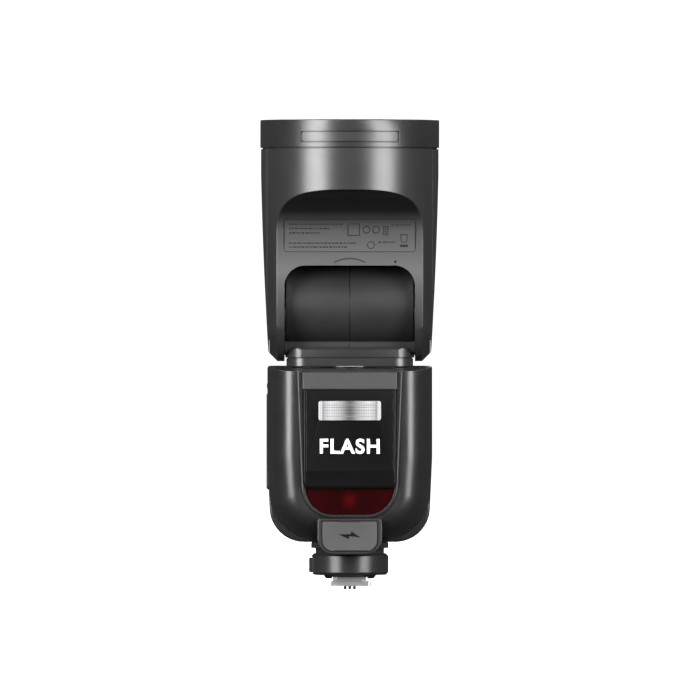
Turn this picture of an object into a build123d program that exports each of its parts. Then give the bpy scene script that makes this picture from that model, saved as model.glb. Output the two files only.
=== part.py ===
from build123d import *
import os
from math import cos, radians, sin, sqrt

# Round-head speedlight flash, head pointing straight up.
# Millimetres. Origin: centre of the underside of the hot-shoe foot plate.
# +X right as seen from the front, -Y front (towards the subject), +Z up.

# ---- driving dimensions -------------------------------------------------------------------
SHOE_WIDTH = 18.6          # ISO 518 foot
SHOE_LENGTH = 18.0
SHOE_THICK = 2.0
SHOE_NECK = 12.1

DRUM_R = 16.9
DRUM_Z0, DRUM_Z1 = 4.75, 14.3
WAIST_R = 15.0
FLANGE_Z0, FLANGE_Z1 = 16.5, 19.1

BODY_HALF_W = 35.9
BODY_FRONT, BODY_SPLIT, BODY_BACK = -26.0, -4.0, 27.0
BODY_TOP = 96.0
BODY_FRONT_TOP = 93.6      # the top slopes down towards the front
SLOPE_BACK = -8.0
WALL = 2.2

NECK_HALF_W, NECK_HALF_D = 27.6, 14.5
NECK_Z0, NECK_Z1 = 95.3, 99.2
RECESS_R, RECESS_Z = 28.8, 95.0   # round recess in the body top in which the neck turns
COVER_Z0, COVER_Z1 = 99.5, 104.0

TILT_Z = 122.0             # tilt axis, along X
BARREL_R = 17.0
BARREL_HALF_W = 28.1
BARREL_SEAM = 0.15          # half width of the groove between the barrel halves
TUNNEL_HALF_W = 28.4
FLANGE_X, FLANGE_R, SKIRT_R = 28.75, 19.2, 21.4   # thin discs that turn in the cheeks
TUNNEL_R = 17.6
TUNNEL_TOP = 139.5
SEAT_TOP = 136.8

HEAD_R = 38.7
CHEEK_R = 24.1
SCOOP_Y = -22.2            # flat of the scoop
SCOOP_ARC_R = 18.5
SCOOP_ARC_Z = 154.0
BACK_SLOPE_Z = 185.0
HEAD_TOP = 190.4
POCKET_X = 35.0            # side covers sit outside this plane
POCKET_HALF_D = 14.2
COVER_GAP = 0.22            # joint line round the side covers
PIVOT_DISC_R = 13.0

RING_R = 39.0
RING_Z0, RING_Z1 = 190.9, 203.0

RUN = 0.05                 # radial running clearance
GAP = 0.3                  # free clearance round moving parts

PARTS = "parts"


# ---- helpers ------------------------------------------------------------------------------
def block(x0, x1, y0, y1, z0, z1):
    """Axis-aligned box from its limits."""
    centre = Pos((x0 + x1) / 2, (y0 + y1) / 2, (z0 + z1) / 2)
    return centre * Box(x1 - x0, y1 - y0, z1 - z0)


def rod_z(x, y, z0, z1, r):
    return Pos(x, y, (z0 + z1) / 2) * Cylinder(r, z1 - z0)


def rod_x(y, z, x0, x1, r):
    return Pos((x0 + x1) / 2, y, z) * Rot(0, 90, 0) * Cylinder(r, x1 - x0)


def rod_y(x, z, y0, y1, r):
    return Pos(x, (y0 + y1) / 2, z) * Rot(90, 0, 0) * Cylinder(r, y1 - y0)


def tube_z(x, y, z0, z1, r_out, r_in):
    return rod_z(x, y, z0, z1, r_out) - rod_z(x, y, z0 - 1, z1 + 1, r_in)


def slab_xz(face, y0, y1):
    """Face drawn in the XZ plane, made solid from y0 to y1."""
    return Pos(0, y1, 0) * extrude(Plane.XZ * face, amount=y1 - y0)


def slab_yz(points_face, x0, x1):
    """Face drawn in the YZ plane, made solid from x0 to x1."""
    return Pos(x0, 0, 0) * extrude(Plane.YZ * points_face, amount=x1 - x0)


def round_corners(face, radius, picks):
    """Round the listed (x, z) corners of a face."""
    chosen = [
        v for v in face.vertices()
        if any(abs(v.X - px) < 0.01 and abs(v.Y - pz) < 0.01 for px, pz in picks)
    ]
    return fillet(chosen, radius)


def rounded_box_y(x0, x1, z0, z1, y0, y1, r):
    """Plate facing the front with rounded corners."""
    face = Pos((x0 + x1) / 2, (z0 + z1) / 2) * RectangleRounded(x1 - x0, z1 - z0, r)
    return slab_xz(face, y0, y1)


def mirrored(points):
    """Right-hand half of an outline, bottom to top, closed by its mirror image."""
    left = [(-x, z) for x, z in reversed(points)]
    return make_face(Polyline(*points, *left, close=True))


def save(name, shape):
    shape.label = name
    export_step(shape, os.path.join(PARTS, name + ".step"))


def save_group(name, shapes):
    save(name, Compound(children=list(shapes)))


# ---- foot ---------------------------------------------------------------------------------
PIN_X = (-2.0, 0.0, 2.0)
PIN_ROW_Y = -4.0
PIN_R = 0.7
LOCK_PIN_Y = -6.65
LOCK_PIN_R = 0.8
FOOT_SCREWS = [(-6.6, -6.6), (6.6, -6.6), (-6.6, 6.6), (6.6, 6.6)]
INSULATOR_HALF = 5.2
LUG_Z0 = 3.2                 # underside of the lugs beside the neck of the foot plate
LEVER_IN, LEVER_OUT = 5.0, 13.0
LEVER_Z0, LEVER_Z1 = 8.5, 10.7
RELEASE_Z0, RELEASE_Z1 = 5.9, 12.4


def hot_shoe_plate():
    half_w, half_l = SHOE_WIDTH / 2, SHOE_LENGTH / 2
    plate = Pos(0, 0, SHOE_THICK / 2) * extrude(RectangleRounded(SHOE_WIDTH, SHOE_LENGTH, 1.2),
                                                SHOE_THICK / 2, both=True)
    plate += block(-SHOE_NECK / 2, SHOE_NECK / 2, -half_l + 0.9, half_l - 0.9, SHOE_THICK, 4.0)
    plate -= block(-INSULATOR_HALF, INSULATOR_HALF, -5.6, 5.6, -1, 5)
    plate -= rod_z(0, LOCK_PIN_Y, -1, 5, LOCK_PIN_R + 0.1)
    for x, y in FOOT_SCREWS:
        plate -= rod_z(x, y, -1, 0.9, 1.6)
        plate -= rod_z(x, y, -1, 5, 0.85)
    return plate


def contact_pins():
    pins = [rod_z(x, PIN_ROW_Y, -0.75, 4.0, PIN_R) + Pos(x, PIN_ROW_Y, -0.75) * Sphere(PIN_R)
            for x in PIN_X]
    centre = rod_z(0, 0.8, 0.7, 4.0, 1.3) + Pos(0, 0.8, 0.7) * Sphere(1.3)
    return pins + [centre]


def foot_screws():
    made = []
    for x, y in FOOT_SCREWS:
        screw = rod_z(x, y, 0.2, 0.9, 1.55) + rod_z(x, y, 0.9, 4.0, 0.8)
        screw -= block(x - 0.2, x + 0.2, y - 1, y + 1, 0, 0.5)
        screw -= block(x - 1, x + 1, y - 0.2, y + 0.2, 0, 0.5)
        made.append(screw)
    return made


def foot_housing():
    profile = [(0, 4.0), (10.3, 4.0), (11.9, DRUM_Z0), (DRUM_R - 1.2, DRUM_Z0),
               (DRUM_R, DRUM_Z0 + 1.2), (DRUM_R, DRUM_Z1 - 1.2), (DRUM_R - 1.2, DRUM_Z1),
               (0, DRUM_Z1)]
    drum = revolve(Plane.XZ * make_face(Polyline(*profile, close=True)), Axis.Z)
    half = INSULATOR_HALF - 0.05
    drum += block(-half, half, -5.5, 5.5, 0.15, 4.0)
    lugs = slab_xz(mirrored([(10.3, LUG_Z0), (11.4, 4.6)]), -7.0, 7.0)
    drum += lugs - block(-7.6, 7.6, -8.0, 8.0, 0, 4.7)
    for x in PIN_X:
        drum -= rod_z(x, PIN_ROW_Y, -1, 4.0, PIN_R)
    drum -= rod_z(0, 0, 6.4, 13.0, 14.0)
    drum += rod_z(0, 0, 6.4, 11.2, LEVER_IN - RUN)
    drum -= rod_z(0, 0.8, 4, 15, 2.2)
    drum -= rod_z(0, 0.8, -1, 4, 1.3)
    drum -= rod_z(0, LOCK_PIN_Y, 3, 7, LOCK_PIN_R + 0.1)
    slot = rod_z(0, 0, LEVER_Z0 - GAP, LEVER_Z1 + GAP, 20)
    wedge = make_face(Polyline((0, 0), (-37, 33), (37, 33), close=True))
    slot &= Pos(0, 0, 5) * extrude(wedge, 10)
    drum -= slot - rod_z(0, 0, 0, 20, 13.5)
    drum -= block(-20, -13.6, -4.2 - GAP, 4.2 + GAP, RELEASE_Z0 - GAP, RELEASE_Z1 + GAP)
    return drum


def lock_lever():
    """Ring round the inner boss with an arm that comes out at the back."""
    ring = tube_z(0, 0, LEVER_Z0, LEVER_Z1, LEVER_OUT, LEVER_IN)
    arm = block(-3.2, 3.2, 12.0, 19.5, LEVER_Z0, LEVER_Z1)
    tab = Pos(0, 20.0, (RELEASE_Z0 + RELEASE_Z1) / 2) * Box(9.0, 3.4, 6.4)
    tab = fillet(tab.edges().filter_by(Axis.Z), 1.4)
    return Rot(0, 0, 30) * (ring + arm + tab)


def lock_pin():
    pin = rod_z(0, LOCK_PIN_Y, 0.1, 8.2, LOCK_PIN_R)
    return chamfer(pin.edges().sort_by(Axis.Z)[0], 0.3)


def lock_release_button():
    key = block(-17.9, -14.9, -4.2, 4.2, RELEASE_Z0, RELEASE_Z1)
    outer = key.faces().sort_by(Axis.X)[0]
    return fillet(outer.edges(), 0.6)


def pedestal():
    low = rod_z(0, 0, DRUM_Z1, FLANGE_Z0, WAIST_R)
    flange = rod_z(0, 0, FLANGE_Z0, FLANGE_Z1, DRUM_R)
    flange = chamfer(flange.edges().sort_by(Axis.Z)[-1], 0.4)
    boss = rod_z(0, 0, FLANGE_Z1, 23.5, 12.9)
    return low + flange + boss - rod_z(0, 0.8, 14, 24, 2.2)


# ---- body ---------------------------------------------------------------------------------
def body_outline(inset, corner_r, bottom, low_half_w, top=110.0):
    """Front-view outline of a body half: nearly straight sides, rounded bottom corners."""
    half = BODY_HALF_W - inset
    low = low_half_w - inset
    base = bottom + inset
    face = mirrored([(low, base), (half, 56.0), (half, top)])
    face = round_corners(face, 60.0, [(half, 56.0), (-half, 56.0)])
    return round_corners(face, corner_r - inset, [(low, base), (-low, base)])


def elliptic_front(face, y0, y1, rx, ry):
    """Outline made solid with an elliptically rounded front edge."""
    k = ry / rx
    solid = slab_xz(face, y0 / k, y1 / k)
    front = solid.faces().sort_by(Axis.Y)[0]
    rim = [e for e in front.edges() if e.center().Z < 105.0]
    solid = fillet(rim, rx)
    return scale(solid, by=(1, k, 1))


def above_top(drop=0.0):
    """Everything above the body's top: flat at the back, sloping at the front."""
    slope = (BODY_TOP - BODY_FRONT_TOP) / (SLOPE_BACK - BODY_FRONT)
    y_far = -60.0
    z_far = BODY_TOP + (y_far - SLOPE_BACK) * slope
    face = make_face(Polyline((y_far, z_far - drop), (SLOPE_BACK, BODY_TOP - drop),
                              (60, BODY_TOP - drop), (60, 130), (y_far, 130), close=True))
    return slab_yz(face, -60, 60)


def u_face(top_half, low_half, top, bottom, r):
    face = mirrored([(low_half, bottom), (top_half, top)])
    return round_corners(face, r, [(low_half, bottom), (-low_half, bottom)])


U_OUT = dict(top_half=23.1, low_half=20.5, top=93.9, bottom=29.8, r=13.6)
U_IN = dict(top_half=20.95, low_half=19.05, top=93.9, bottom=31.2, r=12.2)
FRAME_FRONT, FRAME_BACK = -26.8, -19.4
LENS_TOP = 42.6

SOCKET_HALF_W, SOCKET_Z0, SOCKET_Z1, SOCKET_R = 14.1, 13.9, 29.7, 7.0
SOCKET_FRONT, SOCKET_BACK = -27.0, -17.2
FLAP_HINGE = (-27.2, 16.0)     # y and z of the hinge line

STEM_R = 12.0
BEARING_OUT = 17.0

PORT_Y0, PORT_Y1, PORT_Z0, PORT_Z1 = -2.0, 8.0, 60.0, 78.0
PORT_HINGE = (35.2, 7.4)

BATTERY_X1 = 18.0
BATTERY_Y0, BATTERY_Y1, BATTERY_Z0, BATTERY_Z1 = -2.0, 18.0, 42.0, 84.0

LCD_HALF_W, LCD_Z0, LCD_Z1 = 25.0, 61.0, 92.0
DIAL_Z = 38.0
DIAL_OUT, DIAL_IN = 12.0, 7.4
SOFT_KEYS_X = (-18.0, -6.0, 6.0, 18.0)
SOFT_KEY_Z = 55.5
ROUND_KEYS = {
    "mode_button": (-22.5, 44.0),
    "menu_button": (-22.5, 32.0),
    "wireless_button": (22.5, 44.0),
    "test_button": (22.5, 32.0),
}
ROUND_KEY_R = 3.6
SWITCH_X, SWITCH_Z = -8.0, 24.6


def body_front_shell():
    outer = elliptic_front(body_outline(0, 20.0, 20.4, 33.6), BODY_FRONT, BODY_SPLIT, 12.4, 20.5)
    inner = elliptic_front(body_outline(WALL, 20.0, 20.4, 33.6), BODY_FRONT + WALL,
                           BODY_SPLIT + 1, 10.2, 18.0)
    inner -= above_top(WALL)
    shell = outer - inner - above_top()
    shoulders = Pos(0, 50) * RectangleRounded(2 * BODY_HALF_W, 2 * (BODY_TOP - 50), 1.3)
    shell &= slab_xz(shoulders, -60, 0)
    shell -= slab_xz(u_face(**U_OUT), -40, -18)
    shell -= block(-30, 30, -40, BODY_FRONT + 12, U_OUT["top"] - 0.01, 100) & block(
        -U_OUT["top_half"], U_OUT["top_half"], -40, FRAME_BACK, 90, 100)
    shell -= rounded_box_y(-SOCKET_HALF_W - RUN, SOCKET_HALF_W + RUN, SOCKET_Z0 - 8,
                           SOCKET_Z1 + RUN, -40, -17.0, 1.6)
    shell -= rod_z(0, 0, 15, 24, 13.0)
    shell -= rod_z(0, 0, 90, 100, STEM_R + 1.0)
    shell -= rod_z(0, 0, RECESS_Z, 100, RECESS_R)
    return shell


def body_rear_shell():
    outer = slab_xz(body_outline(0, 15.0, 19.1, 34.3), BODY_SPLIT, BODY_BACK)
    back = outer.faces().sort_by(Axis.Y)[-1]
    rim = [e for e in back.edges() if e.center().Z < 105.0]
    outer = fillet(rim, 3.0)
    seam = outer.faces().sort_by(Axis.Y)[0]
    outer = fillet([e for e in seam.edges() if e.center().Z < 105.0], 0.9)
    inner = slab_xz(body_outline(WALL, 15.0, 19.1, 34.3), BODY_SPLIT - 1, BODY_BACK - WALL)
    inner -= above_top(WALL)
    mouth = slab_xz(body_outline(WALL, 20.0, 20.4, 33.6), BODY_SPLIT - 1, BODY_BACK)
    rim_zone = block(-60, 60, BODY_SPLIT - 2, BODY_SPLIT + 2.0, 0, 60.0)
    inner = (inner - rim_zone) + (inner & mouth & rim_zone)
    shell = outer - inner - above_top()
    top_edges = [e for e in shell.edges().filter_by(Axis.Y)
                 if abs(e.center().Z - BODY_TOP) < 0.01 and abs(abs(e.center().X) - 35.9) < 0.01]
    shell = fillet(top_edges, 1.2)
    shell -= rod_z(0, 0, 15, 24, 13.0)
    shell -= rod_z(0, 0, 90, 100, STEM_R + 1.0)
    shell -= rod_z(0, 0, RECESS_Z, 100, RECESS_R)
    # rear controls
    shell -= block(-LCD_HALF_W, LCD_HALF_W, BODY_BACK - 0.9, 40, LCD_Z0, LCD_Z1)
    shell -= block(-22, 22, 20, 40, LCD_Z0 + 3, LCD_Z1 - 3)
    shell -= rod_y(0, DIAL_Z, 20, 40, DIAL_OUT + GAP)
    for x in SOFT_KEYS_X:
        shell -= block(x - 4.3, x + 4.3, 20, 40, SOFT_KEY_Z - 2.1, SOFT_KEY_Z + 2.1)
    for x, z in ROUND_KEYS.values():
        shell -= rod_y(x, z, 20, 40, ROUND_KEY_R + GAP)
    shell -= block(SWITCH_X - 5.5, SWITCH_X + 5.5, 20, 40, SWITCH_Z - 1.6, SWITCH_Z + 1.6)
    # right side: port recess with its openings
    shell -= block(34.3, 40, PORT_Y0 - GAP, PORT_Y1 + GAP, PORT_Z0 - GAP, PORT_Z1 + GAP)
    shell -= block(30, 40, 1.5, 4.7, 65.3, 74.5)
    shell -= rod_x(3.0, 62.6, 30, 40, 1.8)
    # left side: battery opening and catch window
    shell -= block(-40, -30, BATTERY_Y0 - GAP, BATTERY_Y1 + GAP,
                   BATTERY_Z0 - GAP, BATTERY_Z1 + GAP)
    shell -= block(-40, -30, 4.0 - GAP, 12.0 + GAP, 86.0 - GAP, 89.5 + GAP)
    return shell


def front_frame():
    """U-shaped frame round the sub flash and the assist lens."""
    ring = slab_xz(u_face(**U_OUT), FRAME_FRONT, FRAME_BACK)
    rim = [e for e in ring.faces().sort_by(Axis.Y)[0].edges() if e.center().Z < 93.0]
    ring = fillet(rim, 0.8)
    ring -= slab_xz(u_face(**U_IN), -40, 0)
    floor = slab_xz(u_face(**U_IN), FRAME_BACK - 0.8, FRAME_BACK)
    frame = ring + floor - above_top()
    return frame - rod_y(0, 37.4, -22, -18, 5.2)


def af_assist_lens():
    face = u_face(U_IN["top_half"] - GAP, U_IN["low_half"] - GAP, 93.9, 31.35, 12.0)
    lens = slab_xz(face, -25.9, -24.3) - block(-30, 30, -30, -20, LENS_TOP, 100)
    for k in range(-5, 6):
        lens -= block(2.6 * k - 0.35, 2.6 * k + 0.35, -24.6, -24.0, 33.5, 40.8)
    return lens


def af_led_module():
    base = block(-9, 9, -22.5, -20.3, 33.2, 41.6)
    base += rod_y(0, 37.4, -20.4, -17.6, 5.1)
    for x in (-5.0, 0.0, 5.0):
        base += rod_y(x, 37.4, -23.8, -22.4, 1.6)
    return base


def power_socket_frame():
    z_mid = (SOCKET_Z0 + SOCKET_Z1) / 2
    face = Rectangle(2 * SOCKET_HALF_W, SOCKET_Z1 - SOCKET_Z0)
    face = Pos(0, z_mid) * face
    low = [(-SOCKET_HALF_W, SOCKET_Z0), (SOCKET_HALF_W, SOCKET_Z0)]
    high = [(-SOCKET_HALF_W, SOCKET_Z1), (SOCKET_HALF_W, SOCKET_Z1)]
    face = round_corners(face, SOCKET_R, low)
    face = round_corners(face, 1.5, high)
    frame = slab_xz(face, SOCKET_FRONT, SOCKET_BACK)
    frame = fillet(frame.faces().sort_by(Axis.Y)[0].edges(), 0.6)
    frame -= slab_xz(flap_face(-GAP), -30, -25.2)
    frame -= block(-8, 8, -30, -24.2, 18.0, 26.5)
    for x in (-4.5, 0.0, 4.5):
        frame -= rod_y(x, 22.2, -25, -19, 1.2)
    return frame


def flap_face(inset):
    half, z0, z1 = 11.9 - inset, 15.5 + inset, 28.3 - inset
    face = Pos(0, (z0 + z1) / 2) * Rectangle(2 * half, z1 - z0)
    face = round_corners(face, 4.5, [(-half, z0), (half, z0)])
    return round_corners(face, 0.8, [(-half, z1), (half, z1)])


def power_flap():
    """Flap with a slim hinge rib along its bottom edge."""
    flap = slab_xz(flap_face(0), -27.4, -25.9)
    flap -= Pos(0, -27.9, 28.9) * Rot(0, 90, 0) * Cylinder(1.1, 9.0)
    return flap + rod_x(*FLAP_HINGE, -7.0, 7.0, 0.5)


def pan_bearing_ring():
    """Fixed ring in the top of the body that guides the neck stem."""
    return tube_z(0, 0, 89.9, 92.2, BEARING_OUT, STEM_R + RUN)


def battery():
    pack = block(-35.2, BATTERY_X1, BATTERY_Y0, BATTERY_Y1, BATTERY_Z0, BATTERY_Z1)
    pack = fillet(pack.edges().filter_by(Axis.X), 1.0)
    end = block(-36.3, -35.2, BATTERY_Y0, BATTERY_Y1, BATTERY_Z0, BATTERY_Z1)
    end = fillet(end.edges().filter_by(Axis.X), 1.5)
    end = chamfer(end.faces().sort_by(Axis.X)[0].edges(), 0.6)
    return pack + end


def battery_bay():
    bay = block(-32.4, 19.8, -3.6, 19.6, 40.4, 85.6)
    bay -= block(-40, BATTERY_X1 + GAP, BATTERY_Y0 - GAP, BATTERY_Y1 + GAP,
                 BATTERY_Z0 - GAP, BATTERY_Z1 + GAP)
    return bay


def battery_catch():
    """Small slider above the battery; pushed up to free it."""
    pad = block(-36.2, -33.8, 4.0, 12.0, 86.0, 88.4)
    return fillet(pad.faces().sort_by(Axis.X)[0].edges(), 0.5)


def side_port_cover():
    hx, hy = PORT_HINGE
    leaf = block(34.6, BODY_HALF_W, PORT_Y0, hy, PORT_Z0, PORT_Z1)
    leaf = fillet(leaf.faces().sort_by(Axis.X)[-1].edges().sort_by(Axis.Y)[0], 0.4)
    leaf -= block(34, 37, hy - 0.35, hy + 1, PORT_Z0 - 1, PORT_Z1 + 1)
    return leaf + rod_z(hx, hy, PORT_Z0, PORT_Z1, 0.6)


def side_port_block():
    body = block(26.0, 33.6, -2.0, 9.0, 60.0, 78.0)
    body -= block(28, 34, 1.5, 4.7, 65.3, 74.5)
    body += block(27.5, 33.4, 2.7, 3.5, 66.6, 73.2)
    return body - rod_x(3.0, 62.6, 27, 34, 1.8)


def lcd_window():
    return block(-LCD_HALF_W + 0.1, LCD_HALF_W - 0.1, BODY_BACK - 0.9, BODY_BACK + 0.1,
                 LCD_Z0 + 0.1, LCD_Z1 - 0.1)


def display_board():
    """Rear circuit board carrying the display and the key switches."""
    board = block(-27, 27, 20.0, 21.2, 25.0, 89.0)
    return board + block(-21.6, 21.6, 21.2, 26.0, LCD_Z0 + 3.2, LCD_Z1 - 3.2)


def main_board():
    return block(-31, 31, -9.0, -7.4, 46, 88)


def main_capacitor():
    can = rod_x(8.0, 31.6, -24, 24, 8.0)
    return fillet(can.edges().filter_by(GeomType.CIRCLE), 0.8)


def soft_key(x):
    key = block(x - 4.0, x + 4.0, 23.6, 27.9, SOFT_KEY_Z - 1.8, SOFT_KEY_Z + 1.8)
    key = fillet(key.edges().filter_by(Axis.Y), 1.2)
    return fillet(key.faces().sort_by(Axis.Y)[-1].edges(), 0.3)


def round_key(x, z):
    key = rod_y(x, z, 23.6, 28.0, ROUND_KEY_R)
    return fillet(key.faces().sort_by(Axis.Y)[-1].edges(), 0.5)


def select_dial():
    dial = rod_y(0, DIAL_Z, 24.4, 29.0, DIAL_OUT) - rod_y(0, DIAL_Z, 20, 30, DIAL_IN)
    for n in range(36):
        notch = Pos(0, 28.0, DIAL_Z) * Rot(0, n * 10, 0) * Pos(DIAL_OUT + 0.15, 0, 0)
        dial -= notch * Box(0.7, 2.6, 0.9)
    return dial


def set_button():
    key = rod_y(0, DIAL_Z, 23.6, 29.4, DIAL_IN - GAP)
    return fillet(key.faces().sort_by(Axis.Y)[-1].edges(), 0.5)


def power_switch():
    knob = block(SWITCH_X - 5.2, SWITCH_X - 1.2, 23.6, 28.2, SWITCH_Z - 1.3, SWITCH_Z + 1.3)
    return fillet(knob.faces().sort_by(Axis.Y)[-1].edges(), 0.4)


# ---- sub flash ----------------------------------------------------------------------------
SUB_FRONT, SUB_BACK = -29.0, -21.2
FLANGE_BACK = -27.0
SUB_Z0, SUB_SPLIT, SUB_Z1 = 42.9, 85.4, 93.2
SUB_TOP_HALF, SUB_LOW_HALF = 20.55, 19.05
WINDOW_HALF_W, WINDOW_Z0, WINDOW_Z1 = 13.6, 72.2, 80.7


def sub_outline(inset=0.0):
    return mirrored([(SUB_LOW_HALF - inset, SUB_Z0 + inset), (SUB_TOP_HALF - inset, SUB_Z1)])


def sub_body(inset, front, back):
    face = sub_outline(inset)
    low = SUB_LOW_HALF - inset
    face = round_corners(face, 2.5, [(low, SUB_Z0 + inset), (-low, SUB_Z0 + inset)])
    return slab_xz(face, front, back)


def sub_flange(front):
    """Wider front of the sub flash, which laps over the sides of the frame."""
    face = mirrored([(SUB_TOP_HALF - 0.1, SUB_Z0), (SUB_TOP_HALF + 0.1, SUB_Z1)])
    low = SUB_TOP_HALF - 0.1
    face = round_corners(face, 2.5, [(low, SUB_Z0), (-low, SUB_Z0)])
    return slab_xz(face, front, FLANGE_BACK)


def sub_case():
    shell = sub_flange(SUB_FRONT)
    rim = [e for e in shell.faces().sort_by(Axis.Y)[0].edges() if e.center().Z < 90]
    shell = chamfer(rim, 0.9)
    shell += sub_body(0, FLANGE_BACK, SUB_BACK)
    shell -= block(-30, 30, -40, -10, SUB_SPLIT, 100)
    hollow = sub_body(1.6, SUB_FRONT + 1.6, SUB_BACK - 1.4)
    hollow -= block(-30, 30, -40, -10, SUB_SPLIT - 1.4, 100)
    shell -= hollow
    # recessed face above the lower lip
    shell -= block(-18.8, 18.8, -40, SUB_FRONT + 0.35, 50.4, SUB_SPLIT)
    shell -= rounded_box_y(-WINDOW_HALF_W, WINDOW_HALF_W, WINDOW_Z0, WINDOW_Z1, -40, -27.0, 1.0)
    return shell


def sub_cap():
    cap = sub_flange(SUB_FRONT) - block(-30, 30, -40, -10, 0, SUB_SPLIT + 0.25)
    front_low = [e for e in cap.faces().sort_by(Axis.Y)[0].edges()]
    cap = chamfer(front_low, 0.35)
    cap += sub_body(0, FLANGE_BACK, SUB_BACK) - block(-30, 30, -40, -10, 0, SUB_SPLIT + 0.25)
    cap -= block(-18, 18, SUB_FRONT + 1.6, SUB_BACK - 1.4, SUB_SPLIT, SUB_Z1 - 1.6)
    return cap


def sub_window():
    lens = rounded_box_y(-WINDOW_HALF_W + 0.05, WINDOW_HALF_W - 0.05, WINDOW_Z0 + 0.05,
                         WINDOW_Z1 - 0.05, SUB_FRONT + 0.1, -27.45, 0.95)
    for k in range(3):
        z = 75.2 + 1.25 * k
        lens -= block(-11.4, 11.4, SUB_FRONT - 1, SUB_FRONT + 0.3, z - 0.12, z + 0.12)
    return lens


def sub_reflector():
    """Trough behind the window that holds the small tube."""
    trough = block(-11.9, 11.9, -26.6, -23.2, 72.6, 80.3)
    cut = Pos(0, -28.4, 76.45) * Rot(0, 90, 0) * Cylinder(3.9, 22.6)
    return trough - cut


# ---- neck ---------------------------------------------------------------------------------
def neck_plan(inset, z0, z1):
    face = RectangleRounded(2 * (NECK_HALF_W - inset), 2 * (NECK_HALF_D - inset), 9.0 - inset)
    return Pos(0, 0, z0) * extrude(face, z1 - z0)


def swivel_base():
    base = neck_plan(0, NECK_Z0, NECK_Z1)
    base = chamfer(base.faces().sort_by(Axis.Z)[0].edges(), 0.5)
    stem = rod_z(0, 0, 89.4, NECK_Z0, STEM_R)
    return base + stem - rod_z(0, 0, 90, 100, 6.0)


def cover_solid():
    """Outer form of the neck cover: rounded plan, shoulders falling away at the sides."""
    half_w, half_d = BARREL_HALF_W, NECK_HALF_D + 0.2
    shoulders = mirrored([(half_w, 90), (half_w, 100.4), (26.1, 102.4), (23.4, 103.6),
                          (20.5, COVER_Z1)])
    across = mirrored([(half_d, 90), (half_d, 102.9), (half_d - 1.1, COVER_Z1)])
    body = neck_plan(NECK_HALF_W - BARREL_HALF_W, NECK_Z1, COVER_Z1)
    body &= slab_xz(shoulders, -20, 20)
    return body & slab_yz(across, -30, 30)


def neck_cover():
    groove = neck_plan(-2, NECK_Z1 - 1, COVER_Z0) - neck_plan(0.5, NECK_Z1 - 2, COVER_Z0 + 1)
    return cover_solid() - groove - rod_z(0, 0, 95, 110, 6.0)


def barrel_half(side):
    """One half cover of the tilt barrel."""
    x0, x1 = sorted((0, BARREL_HALF_W * side))
    drum = rod_x(0, TILT_Z, x0, x1, BARREL_R)
    rim = [e for e in drum.edges().filter_by(GeomType.CIRCLE) if abs(e.center().X) > 1.0]
    drum = chamfer(rim, 0.5)
    drum += block(x0, x1, -7.0, 7.0, COVER_Z0, 116)
    drum -= cover_solid()
    d0, d1 = sorted((BARREL_HALF_W * side, FLANGE_X * side))
    disc = rod_x(0, TILT_Z, d0, d1, FLANGE_R) & block(-60, 60, -60, 60, 90, TILT_Z - 1.0)
    skirt = rod_x(0, TILT_Z, d0, d1, SKIRT_R) & block(-60, 60, -60, 60, 90, COVER_Z1)
    drum += disc + skirt
    s0, s1 = sorted((0, BARREL_SEAM * side))
    core = rod_x(0, TILT_Z, s0, s1, BARREL_R - 1.2) + block(s0, s1, -6.0, 6.0, COVER_Z0, 116)
    drum -= rod_x(0, TILT_Z, s0, s1, 40) - core
    i0, i1 = sorted((-1 * side, 25.6 * side))
    drum -= rod_x(0, TILT_Z, i0, i1, BARREL_R - 2.4)
    drum -= rod_z(0, 0, 100, 115, 6.0)
    a0, a1 = sorted((20 * side, 30 * side))
    return drum - rod_x(0, TILT_Z, a0, a1, 8.0)


def tilt_axles():
    made = []
    for side in (-1, 1):
        a0, a1 = sorted((24.0 * side, 31.4 * side))
        f0, f1 = sorted((31.4 * side, 33.2 * side))
        axle = rod_x(0, TILT_Z, a0, a1, 7.95) + rod_x(0, TILT_Z, f0, f1, 10.5)
        h0, h1 = sorted((20.0 * side, 40.0 * side))
        made.append(axle - rod_x(0, TILT_Z, h0, h1, 3.0))
    return made


# ---- head ---------------------------------------------------------------------------------
def scoop_cutter(grow):
    """Volume in front of the head that the scoop removes, grown inwards by a distance."""
    r = SCOOP_ARC_R + grow
    cy = SCOOP_Y - SCOOP_ARC_R
    top = (cy, SCOOP_ARC_Z + r)
    mid = (cy + r * cos(radians(45)), SCOOP_ARC_Z + r * sin(radians(45)))
    end = (cy + r, SCOOP_ARC_Z)
    edge = [
        ThreePointArc(top, mid, end),
        Line(end, (cy + r, 80)),
        Line((cy + r, 80), (-80, 80)),
        Line((-80, 80), (-80, top[1])),
        Line((-80, top[1]), top),
    ]
    return slab_yz(make_face(edge), -60, 60)


def back_cutter(grow):
    """Volume behind the head removed by its sloping back."""
    face = make_face(Polyline((CHEEK_R - grow, 80), (CHEEK_R - grow, TILT_Z),
                              (HEAD_R - grow, BACK_SLOPE_Z), (HEAD_R - grow, 210),
                              (80, 210), (80, 80), close=True))
    return slab_yz(face, -60, 60)


def cheek_round():
    """Rounded underside of the cheeks, with their outer edge chamfered."""
    wide = 45.0
    profile = make_face(Polyline((0, 0), (0, CHEEK_R), (31.5, CHEEK_R), (36.5, CHEEK_R - 5.0),
                                 (wide, CHEEK_R - 5.0), (wide, 0), close=True))
    half = revolve(profile, Axis.X)
    whole = half + mirror(half, about=Plane.YZ)
    return Pos(0, 0, TILT_Z) * whole + block(-60, 60, -60, 60, TILT_Z, 230)


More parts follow.
